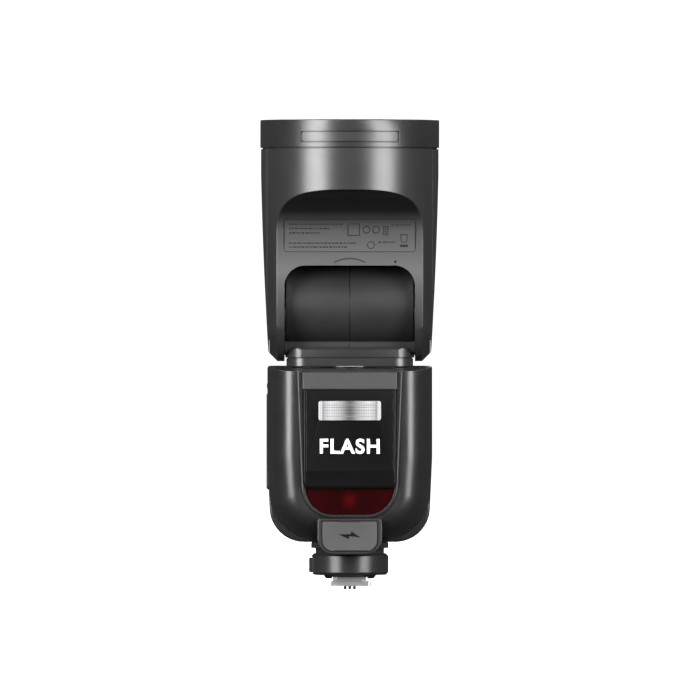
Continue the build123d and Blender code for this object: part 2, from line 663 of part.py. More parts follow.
def taper():
    """Gentle narrowing of the head from the top to the cheeks."""
    top_x = HEAD_R + 0.25
    right = [
        Line((0, 80), (34.2, 80)),
        Line((34.2, 80), (35.6, 104)),
        ThreePointArc((35.6, 104), (37.85, 151), (top_x, 192)),
        Line((top_x, 192), (top_x, 230)),
        Line((top_x, 230), (0, 230)),
        Line((0, 230), (0, 80)),
    ]
    half = slab_xz(make_face(right), -60, 60)
    return half + mirror(half, about=Plane.YZ)


def head_envelope():
    body = rod_z(0, 0, 90, HEAD_TOP, HEAD_R)
    body &= taper()
    body &= cheek_round()
    body -= scoop_cutter(0)
    body -= back_cutter(0)
    return body


def tunnel():
    """Room for the barrel and the neck through the whole tilt range."""
    room = rod_x(0, TILT_Z, -TUNNEL_HALF_W, TUNNEL_HALF_W, TUNNEL_R)
    front = rounded_box_y(-TUNNEL_HALF_W, TUNNEL_HALF_W, 80, TUNNEL_TOP, -60, 0.0, 9.0)
    front += block(-TUNNEL_HALF_W, TUNNEL_HALF_W, -60, 0, 80, 110)
    rear = block(-TUNNEL_HALF_W, TUNNEL_HALF_W, 0, 60, 80, TILT_Z - 1.0)
    seat_half_w = FLANGE_X + GAP
    seats = rod_x(0, TILT_Z, -seat_half_w, seat_half_w, FLANGE_R + GAP)
    low_seats = rod_x(0, TILT_Z, -seat_half_w, seat_half_w, SKIRT_R + GAP)
    seats += low_seats & block(-60, 60, -60, 60, 80, SEAT_TOP)
    seats -= block(-BARREL_HALF_W + 0.05, BARREL_HALF_W - 0.05, -60, 60, 80, 200)
    return room + front + rear + seats


CAVITY_Z0 = 142.2


def cavity():
    room = rod_z(0, 0, CAVITY_Z0, 230, 36.5)
    room &= block(-33.6, 33.6, -60, 60, 100, 230)
    room -= scoop_cutter(2.2)
    room -= back_cutter(2.2)
    return room


def side_pocket(side, gap):
    x0, x1 = sorted(((POCKET_X + gap) * side, 60 * side))
    return block(x0, x1, -POCKET_HALF_D + gap, POCKET_HALF_D - gap, 90, 195)


def plate_zone(inset):
    return rounded_box_y(-28.65 + inset, 28.65 - inset, 145.4 + inset, 159.7 - inset, -60, 0, 1.3)


def rating_plate():
    """Thin label sheet let into the scoop."""
    sheet = Pos(0, 0.3, 0) * scoop_cutter(0) - scoop_cutter(0)
    return (sheet & plate_zone(0.05)) & head_envelope()


def head_shells():
    body = head_envelope() - tunnel() - cavity()
    for side in (-1, 1):
        body -= side_pocket(side, 0)
        p0, p1 = sorted((31.1 * side, 60 * side))
        body -= rod_x(0, TILT_Z, p0, p1, 11.5)
        b0, b1 = sorted((25 * side, 35 * side))
        body -= rod_x(0, TILT_Z, b0, b1, 8.0)
    body -= (Pos(0, 0.3, 0) * scoop_cutter(0)) & plate_zone(0)
    body -= rod_y(19.8, 141.1, -30, -20, 0.5)
    front = body & block(-60, 60, -60, 0, 80, 230)
    back = body & block(-60, 60, 0, 60, 80, 230)
    return front, back


def side_cover(side):
    x0, x1 = sorted((POCKET_X * side, 60 * side))
    cover = head_envelope() & side_pocket(side, COVER_GAP)
    disc = rod_x(0, TILT_Z, x0, x1, PIVOT_DISC_R + 0.25)
    disc -= rod_x(0, TILT_Z, x0, x1, PIVOT_DISC_R - 0.25)
    skin = head_envelope() - Pos(-0.5 * side, 0, 0) * head_envelope()
    cover -= disc & skin
    return cover & block(x0, x1, -60, 60, 97.0, 190.3)


INSERT_HALF_W, INSERT_Z0, INSERT_Z1 = 21.4, 193.0, 197.8


def insert_zone(inset):
    return rounded_box_y(-INSERT_HALF_W + inset, INSERT_HALF_W - inset, INSERT_Z0 + inset,
                         INSERT_Z1 - inset, -60, -10, 0.8)


def head_ring():
    ring = tube_z(0, 0, RING_Z0, RING_Z1, RING_R, 36.0)
    ring = fillet(ring.edges().filter_by(GeomType.CIRCLE).group_by(Axis.Z)[-1], 0.5)
    lip = tube_z(0, 0, 201.4, 202.6, 36.2, 34.0)
    skirt = tube_z(0, 0, HEAD_TOP, RING_Z0 + 0.5, 38.0, 36.0)
    pocket = insert_zone(0) & tube_z(0, 0, 190, 200, 40, RING_R - 0.8)
    spacer = tube_z(0, 0, HEAD_TOP, 199.6, 36.2, 34.4)
    return ring + lip + skirt + spacer - pocket


def ring_insert():
    band = tube_z(0, 0, 190, 200, RING_R - 0.05, RING_R - 0.8)
    return band & insert_zone(0.35)


def front_fresnel():
    disc = rod_z(0, 0, 199.6, 201.4, 35.9)
    for k in range(8):
        r = 6.0 + 3.6 * k
        disc -= tube_z(0, 0, 199.4, 199.9, r + 0.5, r)
    return disc


RAIL_X, RAIL_Y, RAIL_R = 29.5, 8.0, 1.5
CARRIAGE_Z0, CARRIAGE_Z1 = 159.2, 162.0
ZOOM_TRAVEL = 14.0


def zoom_frame():
    """Floor plate of the head with the three guide rods set into it."""
    plate = rod_z(0, 0, CAVITY_Z0, CAVITY_Z0 + 1.8, 36.4)
    plate &= block(-33.4, 33.4, -19.8, 25.0, 100, 230)
    plate -= rod_z(0, 0, 140, 146, 5.0)
    for x, y in ((RAIL_X, RAIL_Y), (RAIL_X, -RAIL_Y), (-RAIL_X, -RAIL_Y)):
        plate += rod_z(x, y, CAVITY_Z0, 186.0, RAIL_R)
    return plate


def zoom_motor():
    can = rod_z(-RAIL_X, RAIL_Y, CAVITY_Z0 + 1.8, 156.0, 3.8)
    return can


def lead_screw():
    screw = rod_z(-RAIL_X, RAIL_Y, 156.3, 185.6, 1.5)
    return screw + rod_z(-RAIL_X, RAIL_Y, 156.3, 157.6, 2.6)


def zoom_carriage():
    bar = block(-32.4, 32.4, -11.0, 11.0, CARRIAGE_Z0, CARRIAGE_Z1)
    for x, y in ((RAIL_X, RAIL_Y), (RAIL_X, -RAIL_Y), (-RAIL_X, -RAIL_Y), (-RAIL_X, RAIL_Y)):
        bar -= rod_z(x, y, 150, 170, RAIL_R + RUN)
    return bar


def reflector():
    """Polished bowl standing on the carriage."""
    outer = [(7.4, CARRIAGE_Z1), (14.0, 163.2), (20.0, 166.6), (24.5, 171.4)]
    inner = [(23.5, 171.4), (19.2, 167.4), (13.4, 164.2), (6.2, 163.0)]
    face = make_face(Polyline(*outer, *inner, (6.2, CARRIAGE_Z1), close=True))
    return revolve(Plane.XZ * face, Axis.Z)


def flash_tube():
    ring = Pos(0, 0, 168.0) * Torus(6.0, 1.7)
    for x in (-4.6, 4.6):
        ring += rod_z(x, 0, CARRIAGE_Z1, 168, 1.4)
    return ring


def modelling_lamps():
    board = tube_z(0, 0, 186.2, 187.4, 33.3, 25.5)
    for n in range(8):
        turn = Rot(0, 0, 22.5 + 45 * n)
        board += turn * Pos(29.4, 0, 187.9) * Box(3.0, 3.0, 1.4)
    return board


# ---- build --------------------------------------------------------------------------------
def build_foot():
    save("hot_shoe_plate", hot_shoe_plate())
    save_group("contact_pins", contact_pins())
    save_group("foot_screws", foot_screws())
    save("foot_housing", foot_housing())
    save("pedestal", pedestal())
    save("lock_lever", lock_lever())
    save("lock_pin", lock_pin())
    save("lock_release_button", lock_release_button())


def build_body():
    save("body_front_shell", body_front_shell())
    save("body_rear_shell", body_rear_shell())
    save("front_frame", front_frame())
    save("af_assist_lens", af_assist_lens())
    save("af_led_module", af_led_module())
    save("power_socket_frame", power_socket_frame())
    save("power_flap", power_flap())
    save("pan_bearing_ring", pan_bearing_ring())
    save("battery", battery())
    save("battery_bay", battery_bay())
    save("battery_catch", battery_catch())
    save("side_port_cover", side_port_cover())
    save("side_port_block", side_port_block())
    save("lcd_window", lcd_window())
    save("display_board", display_board())
    save("main_board", main_board())
    save("main_capacitor", main_capacitor())
    save("select_dial", select_dial())
    save("set_button", set_button())
    save("power_switch", power_switch())
    for n, x in enumerate(SOFT_KEYS_X, 1):
        save(f"soft_key_{n}", soft_key(x))
    for name, (x, z) in ROUND_KEYS.items():
        save(name, round_key(x, z))


def build_sub_flash():
    save("sub_flash_case", sub_case())
    save("sub_flash_cap", sub_cap())
    save("sub_flash_window", sub_window())
    save("sub_flash_reflector", sub_reflector())


def build_neck():
    save("swivel_base", swivel_base())
    save("neck_cover", neck_cover())
    save("barrel_left", barrel_half(-1))
    save("barrel_right", barrel_half(1))
    save_group("tilt_axles", tilt_axles())


def build_head():
    front, back = head_shells()
    save("head_front_shell", front)
    save("head_back_shell", back)
    save("side_cover_left", side_cover(-1))
    save("side_cover_right", side_cover(1))
    save("rating_plate", rating_plate())
    save("head_ring", head_ring())
    save("ring_insert", ring_insert())
    save("front_fresnel", front_fresnel())
    save("zoom_frame", zoom_frame())
    save("zoom_motor", zoom_motor())
    save("lead_screw", lead_screw())
    save("zoom_carriage", zoom_carriage())
    save("reflector", reflector())
    save("flash_tube", flash_tube())
    save("modelling_lamps", modelling_lamps())


os.makedirs(PARTS, exist_ok=True)
build_foot()
build_body()
build_sub_flash()
build_neck()
build_head()
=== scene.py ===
import math
import random

import bpy
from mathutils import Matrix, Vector


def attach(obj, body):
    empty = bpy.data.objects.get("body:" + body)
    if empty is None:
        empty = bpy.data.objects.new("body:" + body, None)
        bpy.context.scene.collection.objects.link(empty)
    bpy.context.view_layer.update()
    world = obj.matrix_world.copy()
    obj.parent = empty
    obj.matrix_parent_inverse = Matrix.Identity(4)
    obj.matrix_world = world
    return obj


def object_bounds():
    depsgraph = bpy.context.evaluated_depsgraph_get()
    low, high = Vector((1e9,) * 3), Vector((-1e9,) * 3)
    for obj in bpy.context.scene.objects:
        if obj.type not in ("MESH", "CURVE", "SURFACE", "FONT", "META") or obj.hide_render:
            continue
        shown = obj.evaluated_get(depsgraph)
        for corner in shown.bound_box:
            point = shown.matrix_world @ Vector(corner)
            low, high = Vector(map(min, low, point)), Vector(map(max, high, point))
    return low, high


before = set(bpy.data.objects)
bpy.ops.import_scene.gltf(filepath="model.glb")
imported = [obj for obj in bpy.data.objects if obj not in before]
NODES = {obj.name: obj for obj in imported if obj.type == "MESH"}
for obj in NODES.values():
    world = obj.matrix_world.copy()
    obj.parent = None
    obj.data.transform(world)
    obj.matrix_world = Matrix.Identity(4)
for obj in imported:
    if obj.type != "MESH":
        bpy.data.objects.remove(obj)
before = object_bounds()
random.seed(7)

MM = 0.001
BLACK, WHITE = (0.0, 0.0, 0.0), (1.0, 1.0, 1.0)


def grey(v):
    """Neutral tone with a trace of blue."""
    return (v, v, v * 1.02)


# ---- where the painted light and shade lie (mm), and their tones -----------------------------
# scooped front of the head: depth of its flat, radius of its curve, height where the curve starts
SCOOP_Y, SCOOP_R, SCOOP_Z = -22.2, 18.5, 154.0
# heights (mm) along which the painted shading of the scoop runs, and distances (mm) off the
# scooped surface over which it fades out
SCOOP_SHADING_Z = (100.0, 180.0)
SCOOP_SHADING_FADE = (0.7, 0.3)
# sub flash window: painted light and shade, bright at the ends and dark in the middle, with
# stripes of painted shade along the ribs
WINDOW_HALF_W = 13.6
RIB_WAVE = 6300.0  # radians per metre, which puts the ribs 1 mm apart
# red lens: painted glow round its middle, with an eight-petal pattern near the centre
LAMP_Z, LAMP_REACH = 37.4, 16.0
PETAL_FADE = (3.4, 0.8)
PETALS = 8.0

# painted light and shade along each zone, from its start (0) to its end (1)
SCOOP_PAINTED_SHADING = [(0.03, 0.010), (0.16, 0.020), (0.34, 0.050), (0.46, 0.080), (0.56, 0.060),
               (0.68, 0.038), (0.745, 0.014), (0.79, 0.003), (1.0, 0.003)]
WINDOW_PAINTED_SHADING = [(0.0, 0.07), (0.10, 0.11), (0.30, 0.26), (0.62, 0.38), (0.80, 0.28), (0.86, 0.16),
                (0.89, 0.36), (1.0, 0.42)]
LAMP_PAINTED_GLOW = [(0.0, (0.030, 0.0006, 0.001)), (0.16, (0.018, 0.0005, 0.0008)),
              (0.34, (0.010, 0.0004, 0.0006)), (1.0, (0.015, 0.0005, 0.0007))]


# ---- materials -------------------------------------------------------------------------------
class Shader:
    """A material with one principled surface. Inputs take numbers, colours or sockets."""

    def __init__(self, name):
        self.material = bpy.data.materials.new(name)
        self.material.use_nodes = True
        self.nodes = self.material.node_tree.nodes
        self.links = self.material.node_tree.links
        self.nodes.clear()
        out = self.nodes.new("ShaderNodeOutputMaterial")
        self.bsdf = self.nodes.new("ShaderNodeBsdfPrincipled")
        self.links.new(self.bsdf.outputs["BSDF"], out.inputs["Surface"])
        self.coords = self.nodes.new("ShaderNodeTexCoord").outputs["Object"]

    def put(self, slot, value):
        if isinstance(value, bpy.types.NodeSocket):
            self.links.new(value, slot)
        elif isinstance(value, tuple):
            slot.default_value = (*value, 1)
        else:
            slot.default_value = value

    def set(self, **values):
        """Inputs of the principled surface, with _ for each space in their names."""
        for name, value in values.items():
            self.put(self.bsdf.inputs[name.replace("_", " ")], value)

    def place(self):
        """X, Y and Z of the point in metres, in the object's own frame."""
        split = self.nodes.new("ShaderNodeSeparateXYZ")
        self.put(split.inputs["Vector"], self.coords)
        return split.outputs["X"], split.outputs["Y"], split.outputs["Z"]

    def noise(self, scale, detail, rough=0.5):
        node = self.nodes.new("ShaderNodeTexNoise")
        for name, value in (("Scale", scale), ("Detail", detail), ("Roughness", rough),
                            ("Vector", self.coords)):
            self.put(node.inputs[name], value)
        return node.outputs["Fac"]

    def ramp(self, factor, stops):
        node = self.nodes.new("ShaderNodeValToRGB")
        elements = node.color_ramp.elements
        elements[0].position, elements[0].color = stops[0][0], (*stops[0][1], 1)
        elements[1].position, elements[1].color = stops[-1][0], (*stops[-1][1], 1)
        for position, colour in stops[1:-1]:
            elements.new(position).color = (*colour, 1)
        self.put(node.inputs["Fac"], factor)
        return node.outputs["Color"]

    def blend(self, factor, first, second):
        node = self.nodes.new("ShaderNodeMix")
        node.data_type = "RGBA"
        for name, value in (("Factor", factor), ("A", first), ("B", second)):
            self.put(node.inputs[name], value)
        return node.outputs["Result"]

    def remap(self, value, low, high, to_low=0.0, to_high=1.0):
        node = self.nodes.new("ShaderNodeMapRange")
        for name, number in (("From Min", low), ("From Max", high), ("To Min", to_low),
                             ("To Max", to_high), ("Value", value)):
            self.put(node.inputs[name], number)
        return node.outputs["Result"]

    def maths(self, kind, first, second=0.0):
        node = self.nodes.new("ShaderNodeMath")
        node.operation = kind
        self.put(node.inputs[0], first)
        self.put(node.inputs[1], second)
        return node.outputs["Value"]

    def relief(self, height, strength, distance):
        """Bump the surface by a height; gives back the input for the normal it starts from."""
        node = self.nodes.new("ShaderNodeBump")
        node.inputs["Strength"].default_value = strength
        node.inputs["Distance"].default_value = distance
        self.put(node.inputs["Height"], height)
        self.set(Normal=node.outputs["Normal"])
        return node.inputs["Normal"]


def scoop_painted_shading(shader, painted):
    """Painted light and shade on the scooped front of the head: paler flat below, darkening up the
    curve.
    """
    maths = shader.maths
    _, depth, height = shader.place()
    rise = maths("MAXIMUM", maths("SUBTRACT", height, SCOOP_Z * MM))
    inside = maths("SUBTRACT", (SCOOP_R * MM) ** 2, maths("MULTIPLY", rise, rise))
    reach = maths("SQRT", maths("MAXIMUM", inside))
    curve = maths("SUBTRACT", reach, (SCOOP_R - SCOOP_Y) * MM)
    off = maths("ABSOLUTE", maths("SUBTRACT", depth, curve))
    on_scoop = shader.remap(off, *(edge * MM for edge in SCOOP_SHADING_FADE))
    along = shader.remap(height, *(z * MM for z in SCOOP_SHADING_Z))
    painted_light = shader.ramp(along, [(where, grey(v)) for where, v in SCOOP_PAINTED_SHADING])
    return shader.blend(on_scoop, painted, painted_light)


def window_painted_shading(shader, _):
    """Painted light and shade on the ribbed window: bright ends, darker middle, and painted
    stripes of shade along the fine upright ribbing.
    """
    maths = shader.maths
    side = shader.place()[0]
    along = shader.remap(maths("ABSOLUTE", side), 0.0, WINDOW_HALF_W * MM)
    painted_light = shader.ramp(along, [(where, grey(v)) for where, v in WINDOW_PAINTED_SHADING])
    wave = maths("SINE", maths("MULTIPLY", side, RIB_WAVE))
    rib_shade = shader.remap(wave, -1.0, 1.0, 0.0, 0.25)
    return shader.blend(rib_shade, painted_light, (0.12, 0.12, 0.12))


def lamp_painted_glow(shader, _):
    """Red lens with a painted glow: a faint round brightening with a petal pattern in the middle.
    """
    maths = shader.maths
    side, _, height = shader.place()
    up = maths("SUBTRACT", height, LAMP_Z * MM)
    square = maths("ADD", maths("MULTIPLY", side, side), maths("MULTIPLY", up, up))
    radius = maths("SQRT", square)
    painted_light = shader.ramp(shader.remap(radius, 0.0, LAMP_REACH * MM), LAMP_PAINTED_GLOW)
    petals = maths("SINE", maths("MULTIPLY", maths("ARCTAN2", up, side), PETALS))
    near = shader.remap(radius, *(r * MM for r in PETAL_FADE))
    part = maths("MULTIPLY", near, shader.remap(petals, -1.0, 1.0, 0.0, 0.6))
    return shader.blend(part, painted_light, (0.06, 0.002, 0.002))


def surface(name, colour, rough, spread=0.05, grain=2600.0, bump=0.12, wear=1.2,
            edge=0.00035, metallic=0.0, coat=0.0, specular=0.5, mottle=0.08, zones=None):
    """Moulded or machined surface: fine grain, uneven roughness, slightly lighter worn edges."""
    shader = Shader(name)
    broad = shader.noise(90.0, 4.0, 0.55)
    low = tuple(c * (1 - mottle) for c in colour)
    high = tuple(min(1.0, c * (1 + mottle)) for c in colour)
    tone = shader.ramp(broad, [(0.3, low), (0.7, high)])
    pointed = shader.nodes.new("ShaderNodeNewGeometry").outputs["Pointiness"]
    worn = shader.ramp(pointed, [(0.52, BLACK), (0.62, WHITE)])
    painted = shader.blend(worn, tone, tuple(min(1.0, c * wear + 0.004) for c in colour))
    # zones, where given, paint light and shade into the colour
    if zones:
        painted = zones(shader, painted)
    uneven = shader.remap(broad, 0.0, 1.0, max(0.02, rough - spread), min(1.0, rough + spread))
    shader.set(Base_Color=painted, Roughness=uneven, Metallic=metallic,
               Specular_IOR_Level=specular, Coat_Weight=coat, Coat_Roughness=0.05)
    bevel = shader.nodes.new("ShaderNodeBevel")
    bevel.samples = 4
    bevel.inputs["Radius"].default_value = edge
    base_normal = shader.relief(shader.noise(grain, 2.0, 0.6), bump, 0.00004)
    shader.put(base_normal, bevel.outputs["Normal"])
    return shader.material


def see_through(name, colour, rough, weight):
    """Clear or tinted window with faint surface unevenness."""
    shader = Shader(name)
    broad = shader.noise(120.0, 3.0)
    tone = shader.ramp(broad, [(0.3, tuple(c * 0.92 for c in colour)), (0.7, colour)])
    uneven = shader.remap(broad, 0.0, 1.0, max(0.0, rough - 0.03), rough + 0.03)
    shader.set(Base_Color=tone, Roughness=uneven, Transmission_Weight=weight, IOR=1.49)
    shader.relief(shader.noise(1500.0, 2.0), 0.05, 0.00003)
    return shader.material


MATERIALS = {
    "shell": surface("shell_black", grey(0.013), 0.33),
    "front_shell": surface("front_shell_black", grey(0.012), 0.33),
    # scooped head front: painted light and shade in its colour
    "scoop": surface("head_front_black", grey(0.013), 0.33, zones=scoop_painted_shading),
    "barrel": surface("barrel_black", grey(0.012), 0.40),
    "frame": surface("frame_grey", grey(0.014), 0.34),
    "foot": surface("foot_grey", grey(0.014), 0.29),
    "gloss": surface("gloss_black", grey(0.004), 0.12, 0.02, bump=0.02, edge=0.0002,
                     specular=0.32),
    "cap": surface("cap_grey", grey(0.03), 0.40),
    "flap": surface("flap_grey", grey(0.038), 0.5, bump=0.25),
    "socket": surface("socket_frame_grey", grey(0.014), 0.38),
    "rubber": surface("key_rubber", grey(0.03), 0.62, bump=0.3),
    # rating plate: the same painted light and shade as the scooped front
    "label": surface("label_grey", grey(0.028), 0.36, bump=0.04, zones=scoop_painted_shading),
    "print": surface("label_print", grey(0.006), 0.7, bump=0.05, specular=0.15),
    "white": surface("white_print", (0.85, 0.85, 0.84), 0.45, bump=0.05, mottle=0.03),
    "mark": surface("index_print", (0.22, 0.22, 0.22), 0.45, bump=0.05),
    # sub flash window: painted light and shade in its colour
    "diffuser": surface("diffuser_white", (0.45, 0.45, 0.45), 0.22, bump=0.1, mottle=0.03,
                        wear=1.05, zones=window_painted_shading),
    "segment": surface("display_segment", (0.05, 0.055, 0.05), 0.3, bump=0.03),
    "haze": surface("window_haze", (0.16, 0.16, 0.16), 0.35, bump=0.05),
    "board": surface("circuit_green", (0.02, 0.09, 0.05), 0.4, bump=0.3),
    "sleeve": surface("capacitor_sleeve", (0.02, 0.02, 0.035), 0.3),
    "shoe": surface("shoe_metal", (0.62, 0.62, 0.63), 0.34, grain=1800, metallic=1.0),
    "steel": surface("ground_steel", (0.42, 0.42, 0.43), 0.32, grain=1800, metallic=1.0),
    "dark_steel": surface("fastener_steel", (0.16, 0.16, 0.165), 0.35, metallic=1.0),
    "gold": surface("contact_plating", (0.24, 0.23, 0.21), 0.25, metallic=1.0),
    "mirror": surface("mirror_bowl", (0.86, 0.86, 0.87), 0.08, 0.02, bump=0.02, metallic=1.0),
    # red lens: painted glow in its colour
    "red": surface("assist_red", (0.035, 0.0012, 0.002), 0.08, 0.03, bump=0.02, edge=0.0002,
                   zones=lamp_painted_glow),
    "clear": see_through("clear_lens", (0.92, 0.93, 0.93), 0.05, 0.9),
    "screen": surface("screen_glass", (0.006, 0.007, 0.009), 0.06, 0.02, bump=0.01, edge=0.0001,
                      coat=0.5),
    "tube": see_through("tube_glass", (0.9, 0.89, 0.85), 0.03, 0.85),
    "battery": surface("battery_black", grey(0.014), 0.45, bump=0.25),
}

# the CAD nodes that each material goes on
LOOK = {
    "shell": ["body_rear_shell", "battery_bay", "side_port_block", "neck_cover",
              "head_back_shell", "side_cover_left", "side_cover_right",
              "head_ring", "select_dial"],
    "front_shell": ["body_front_shell"],
    "scoop": ["head_front_shell"],
    "barrel": ["barrel_left", "barrel_right"],
    "frame": ["front_frame", "ring_insert", "power_switch", "lock_release_button"],
    "foot": ["pedestal", "foot_housing", "swivel_base", "lock_lever", "zoom_carriage"],
    "gloss": ["sub_flash_case"],
    "cap": ["sub_flash_cap"],
    "flap": ["power_flap", "side_port_cover"],
    "socket": ["power_socket_frame"],
    "rubber": ["set_button", "soft_key_1", "soft_key_2", "soft_key_3", "soft_key_4",
               "mode_button", "menu_button", "wireless_button", "test_button", "battery_catch"],
    "label": ["rating_plate"],
    "diffuser": ["sub_flash_window"],
    "board": ["display_board", "main_board", "modelling_lamps", "af_led_module"],
    "sleeve": ["main_capacitor"],
    "shoe": ["hot_shoe_plate"],
    "steel": ["pan_bearing_ring", "tilt_axles", "zoom_frame", "zoom_motor",
              "lead_screw", "lock_pin"],
    "dark_steel": ["foot_screws"],
    "gold": ["contact_pins"],
    "mirror": ["reflector", "sub_flash_reflector"],
    "red": ["af_assist_lens"],
    "clear": ["front_fresnel"],
    "screen": ["lcd_window"],
    "tube": ["flash_tube"],
    "battery": ["battery"],
}
WELD_GAP = 0.002
SHARP_ANGLE = 32.0


def shade_smooth(obj):
    for poly in obj.data.polygons:
        poly.use_smooth = True


def put_on(obj, look):
    """Give the piece this material and no other."""
    obj.data.materials.clear()
    obj.data.materials.append(MATERIALS[look])


def smooth(obj):
    """Weld the mesh, shade it smooth and keep real edges sharp."""
    shade_smooth(obj)
    weld = obj.modifiers.new("weld", "WELD")
    weld.merge_threshold = WELD_GAP * MM
    split = obj.modifiers.new("split", "EDGE_SPLIT")
    split.split_angle = math.radians(SHARP_ANGLE)


for look, names in LOOK.items():
    for name in names:
        put_on(NODES[name], look)
        smooth(NODES[name])


# ---- outlines: lists of (x, z) in mm ---------------------------------------------------------
def bar(x0, x1, z0, z1):
    return [(x0, z0), (x1, z0), (x1, z1), (x0, z1)]


def round_points(x, z, r, count, start, sweep):
    """Points on a circle from the angle start, without the last point of the sweep."""
    step = math.radians(sweep) / count
    first = math.radians(start)
    return [(x + r * math.cos(first + k * step), z + r * math.sin(first + k * step))
            for k in range(count)]


def stroke(points, width):
    """Closed outline of a thin line through the points."""
    left, right = [], []
    for k, (x, z) in enumerate(points):
        x0, z0 = points[max(0, k - 1)]
        x1, z1 = points[min(len(points) - 1, k + 1)]
        dx, dz = x1 - x0, z1 - z0
        size = math.hypot(dx, dz)
        nx, nz = -dz / size * width / 2, dx / size * width / 2
        left.append((x + nx, z + nz))
        right.append((x - nx, z - nz))
    return left + right[::-1]


def box_line(x0, x1, z0, z1, width):
    corners = bar(x0, x1, z0, z1)
    return stroke(corners + corners[:1], width)


def ring_line(x, z, r, width):
    """Full ring; its sweep of 375 degrees brings the last of 24 points back to the first."""
    return stroke(round_points(x, z, r, 24, 0, 375), width)


# ---- small added pieces ----------------------------------------------------------------------
def link(name, data):
    obj = bpy.data.objects.new(name, data)
    bpy.context.scene.collection.objects.link(obj)
    return obj


def mesh_object(name, verts, faces):
    mesh = bpy.data.meshes.new(name)
    mesh.from_pydata(verts, [], faces)
    mesh.update()
    return link(name, mesh)


def prisms(name, outlines, near, far):
    """Thin flat shapes; near and far give their two depths (mm) at a height."""
    verts, faces = [], []
    for outline in outlines:
        start, count = len(verts), len(outline)
        for depth in (near, far):
            verts += [(x * MM, depth(z) * MM, z * MM) for x, z in outline]
        faces.append(tuple(range(start, start + count)))
        faces.append(tuple(range(start + 2 * count - 1, start + count - 1, -1)))
        for i in range(count):
            j = (i + 1) % count
            faces.append((start + i, start + count + i, start + count + j, start + j))
    return mesh_object(name, verts, faces)


def finish_piece(obj, name, look, body):
    obj.name = name
    obj.data.name = name
    put_on(obj, look)
    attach(obj, body)


def flat_piece(name, outlines, y_near, y_far, look, body):
    obj = prisms(name, outlines, lambda z: y_near, lambda z: y_far)
    finish_piece(obj, name, look, body)


def turned(outlines):
    """The same outlines, run the other way round."""
    return [outline[::-1] for outline in outlines]


def scoop_y(z):
    """Depth (mm) of the scooped surface at a height."""
    rise = max(0.0, z - SCOOP_Z)
    return SCOOP_Y - SCOOP_R + math.sqrt(SCOOP_R ** 2 - rise ** 2)


def scoop_piece(name, outlines, look, proud=0.03, sunk=0.04):
    """Thin print on the scooped front of the head."""
    obj = prisms(name, outlines, lambda z: scoop_y(z) - proud, lambda z: scoop_y(z) + sunk)
    finish_piece(obj, name, look, "head")


def wordmark():
    """Plain generic word on the front of the sub flash."""
    curve = bpy.data.curves.new("sub_flash_word", "FONT")
    curve.body = "FLASH"
    curve.align_x = "CENTER"
    curve.size = 8.8 * MM
    curve.extrude = 0.04 * MM
    curve.offset = 0.22 * MM
    curve.space_character = 1.12
    obj = link("sub_flash_word", curve)
    obj.rotation_euler = (math.radians(90), 0, 0)
    obj.location = (0, -28.68 * MM, 58.0 * MM)
    finish_piece(obj, "sub_flash_word", "white", "sub_flash")


def window_lines():
    """Fine inner frame seen in the sub flash window."""
    half_width, bottom, top = 11.9, 74.0, 78.9
    inner_frame = box_line(-half_width, half_width, bottom, top, 0.22)
    flat_piece("sub_flash_window_lines", [inner_frame], -28.93, -28.86, "haze", "sub_flash")


def flap_bolt():
    """Lying zigzag sign for the power socket."""
    outline = [(-5.0, 22.7), (-0.4, 20.7), (-0.1, 22.0), (4.8, 21.3), (0.8, 24.0), (0.3, 22.8)]
    flat_piece("power_flap_sign", [outline], -27.44, -27.36, "gloss", "socket_flap")


def index_mark():
    """Printed line on the neck that shows the pan angle."""
    flat_piece("pan_index_mark", [bar(-5.9, 5.9, 95.6, 95.85)], -14.56, -14.48, "mark", "neck")


def dashes(x0, x1, z, tall):
    """A line of print reduced to short strokes."""
    shapes = []
    x = x0
    while x < x1:
        wide = random.uniform(0.45, 1.5)
        shapes.append(bar(x, min(x + wide, x1), z, z + tall))
        x += wide + random.uniform(0.28, 0.5)
    return shapes


def plate_print():
    """Rows of strokes and empty signs where a rating plate has its print."""
    margin, line_width = -26.4, 0.35
    shapes = []
    for x0, x1, z, tall in ((margin, -3.0, 157.2, 0.55), (margin, -9.0, 155.3, 0.55),
                            (margin, -13.0, 153.4, 0.55), (margin, 3.0, 149.0, 0.5),
                            (margin, -1.0, 147.3, 0.5), (18.0, 26.6, 156.9, 0.5)):
        shapes += dashes(x0, x1, z, tall)
    # square sign and two ring signs
    square = [(-0.8, 152.6), (-0.8, 157.6), (4.2, 157.6), (4.2, 152.6), (-0.8, 152.6)]
    shapes.append(stroke(square, line_width))
    for x in (7.2, 11.4):
        shapes.append(ring_line(x, 155.1, 1.5, line_width))
    # grid of small cells
    cell_wide, cell_tall, pitch_x, pitch_z = 0.6, 0.7, 0.9, 1.1
    for column in range(3):
        for row in range(4):
            x, z = 14.4 + pitch_x * column, 152.7 + pitch_z * row
            shapes.append(bar(x, x + cell_wide, z, z + cell_tall))
    # third ring sign, then a bin sign with its lid and the bar under it
    shapes.append(ring_line(9.2, 148.4, 1.5, 0.3))
    shapes.append(stroke([(22.2, 152.4), (22.5, 149.7), (24.7, 149.7), (25.0, 152.4)], line_width))
    shapes.append(bar(21.9, 25.3, 152.7, 153.1))
    shapes.append(bar(21.9, 25.3, 147.6, 148.6))
    shapes += dashes(12.4, 20.0, 149.4, 0.5)
    scoop_piece("rating_plate_print", shapes, "print")


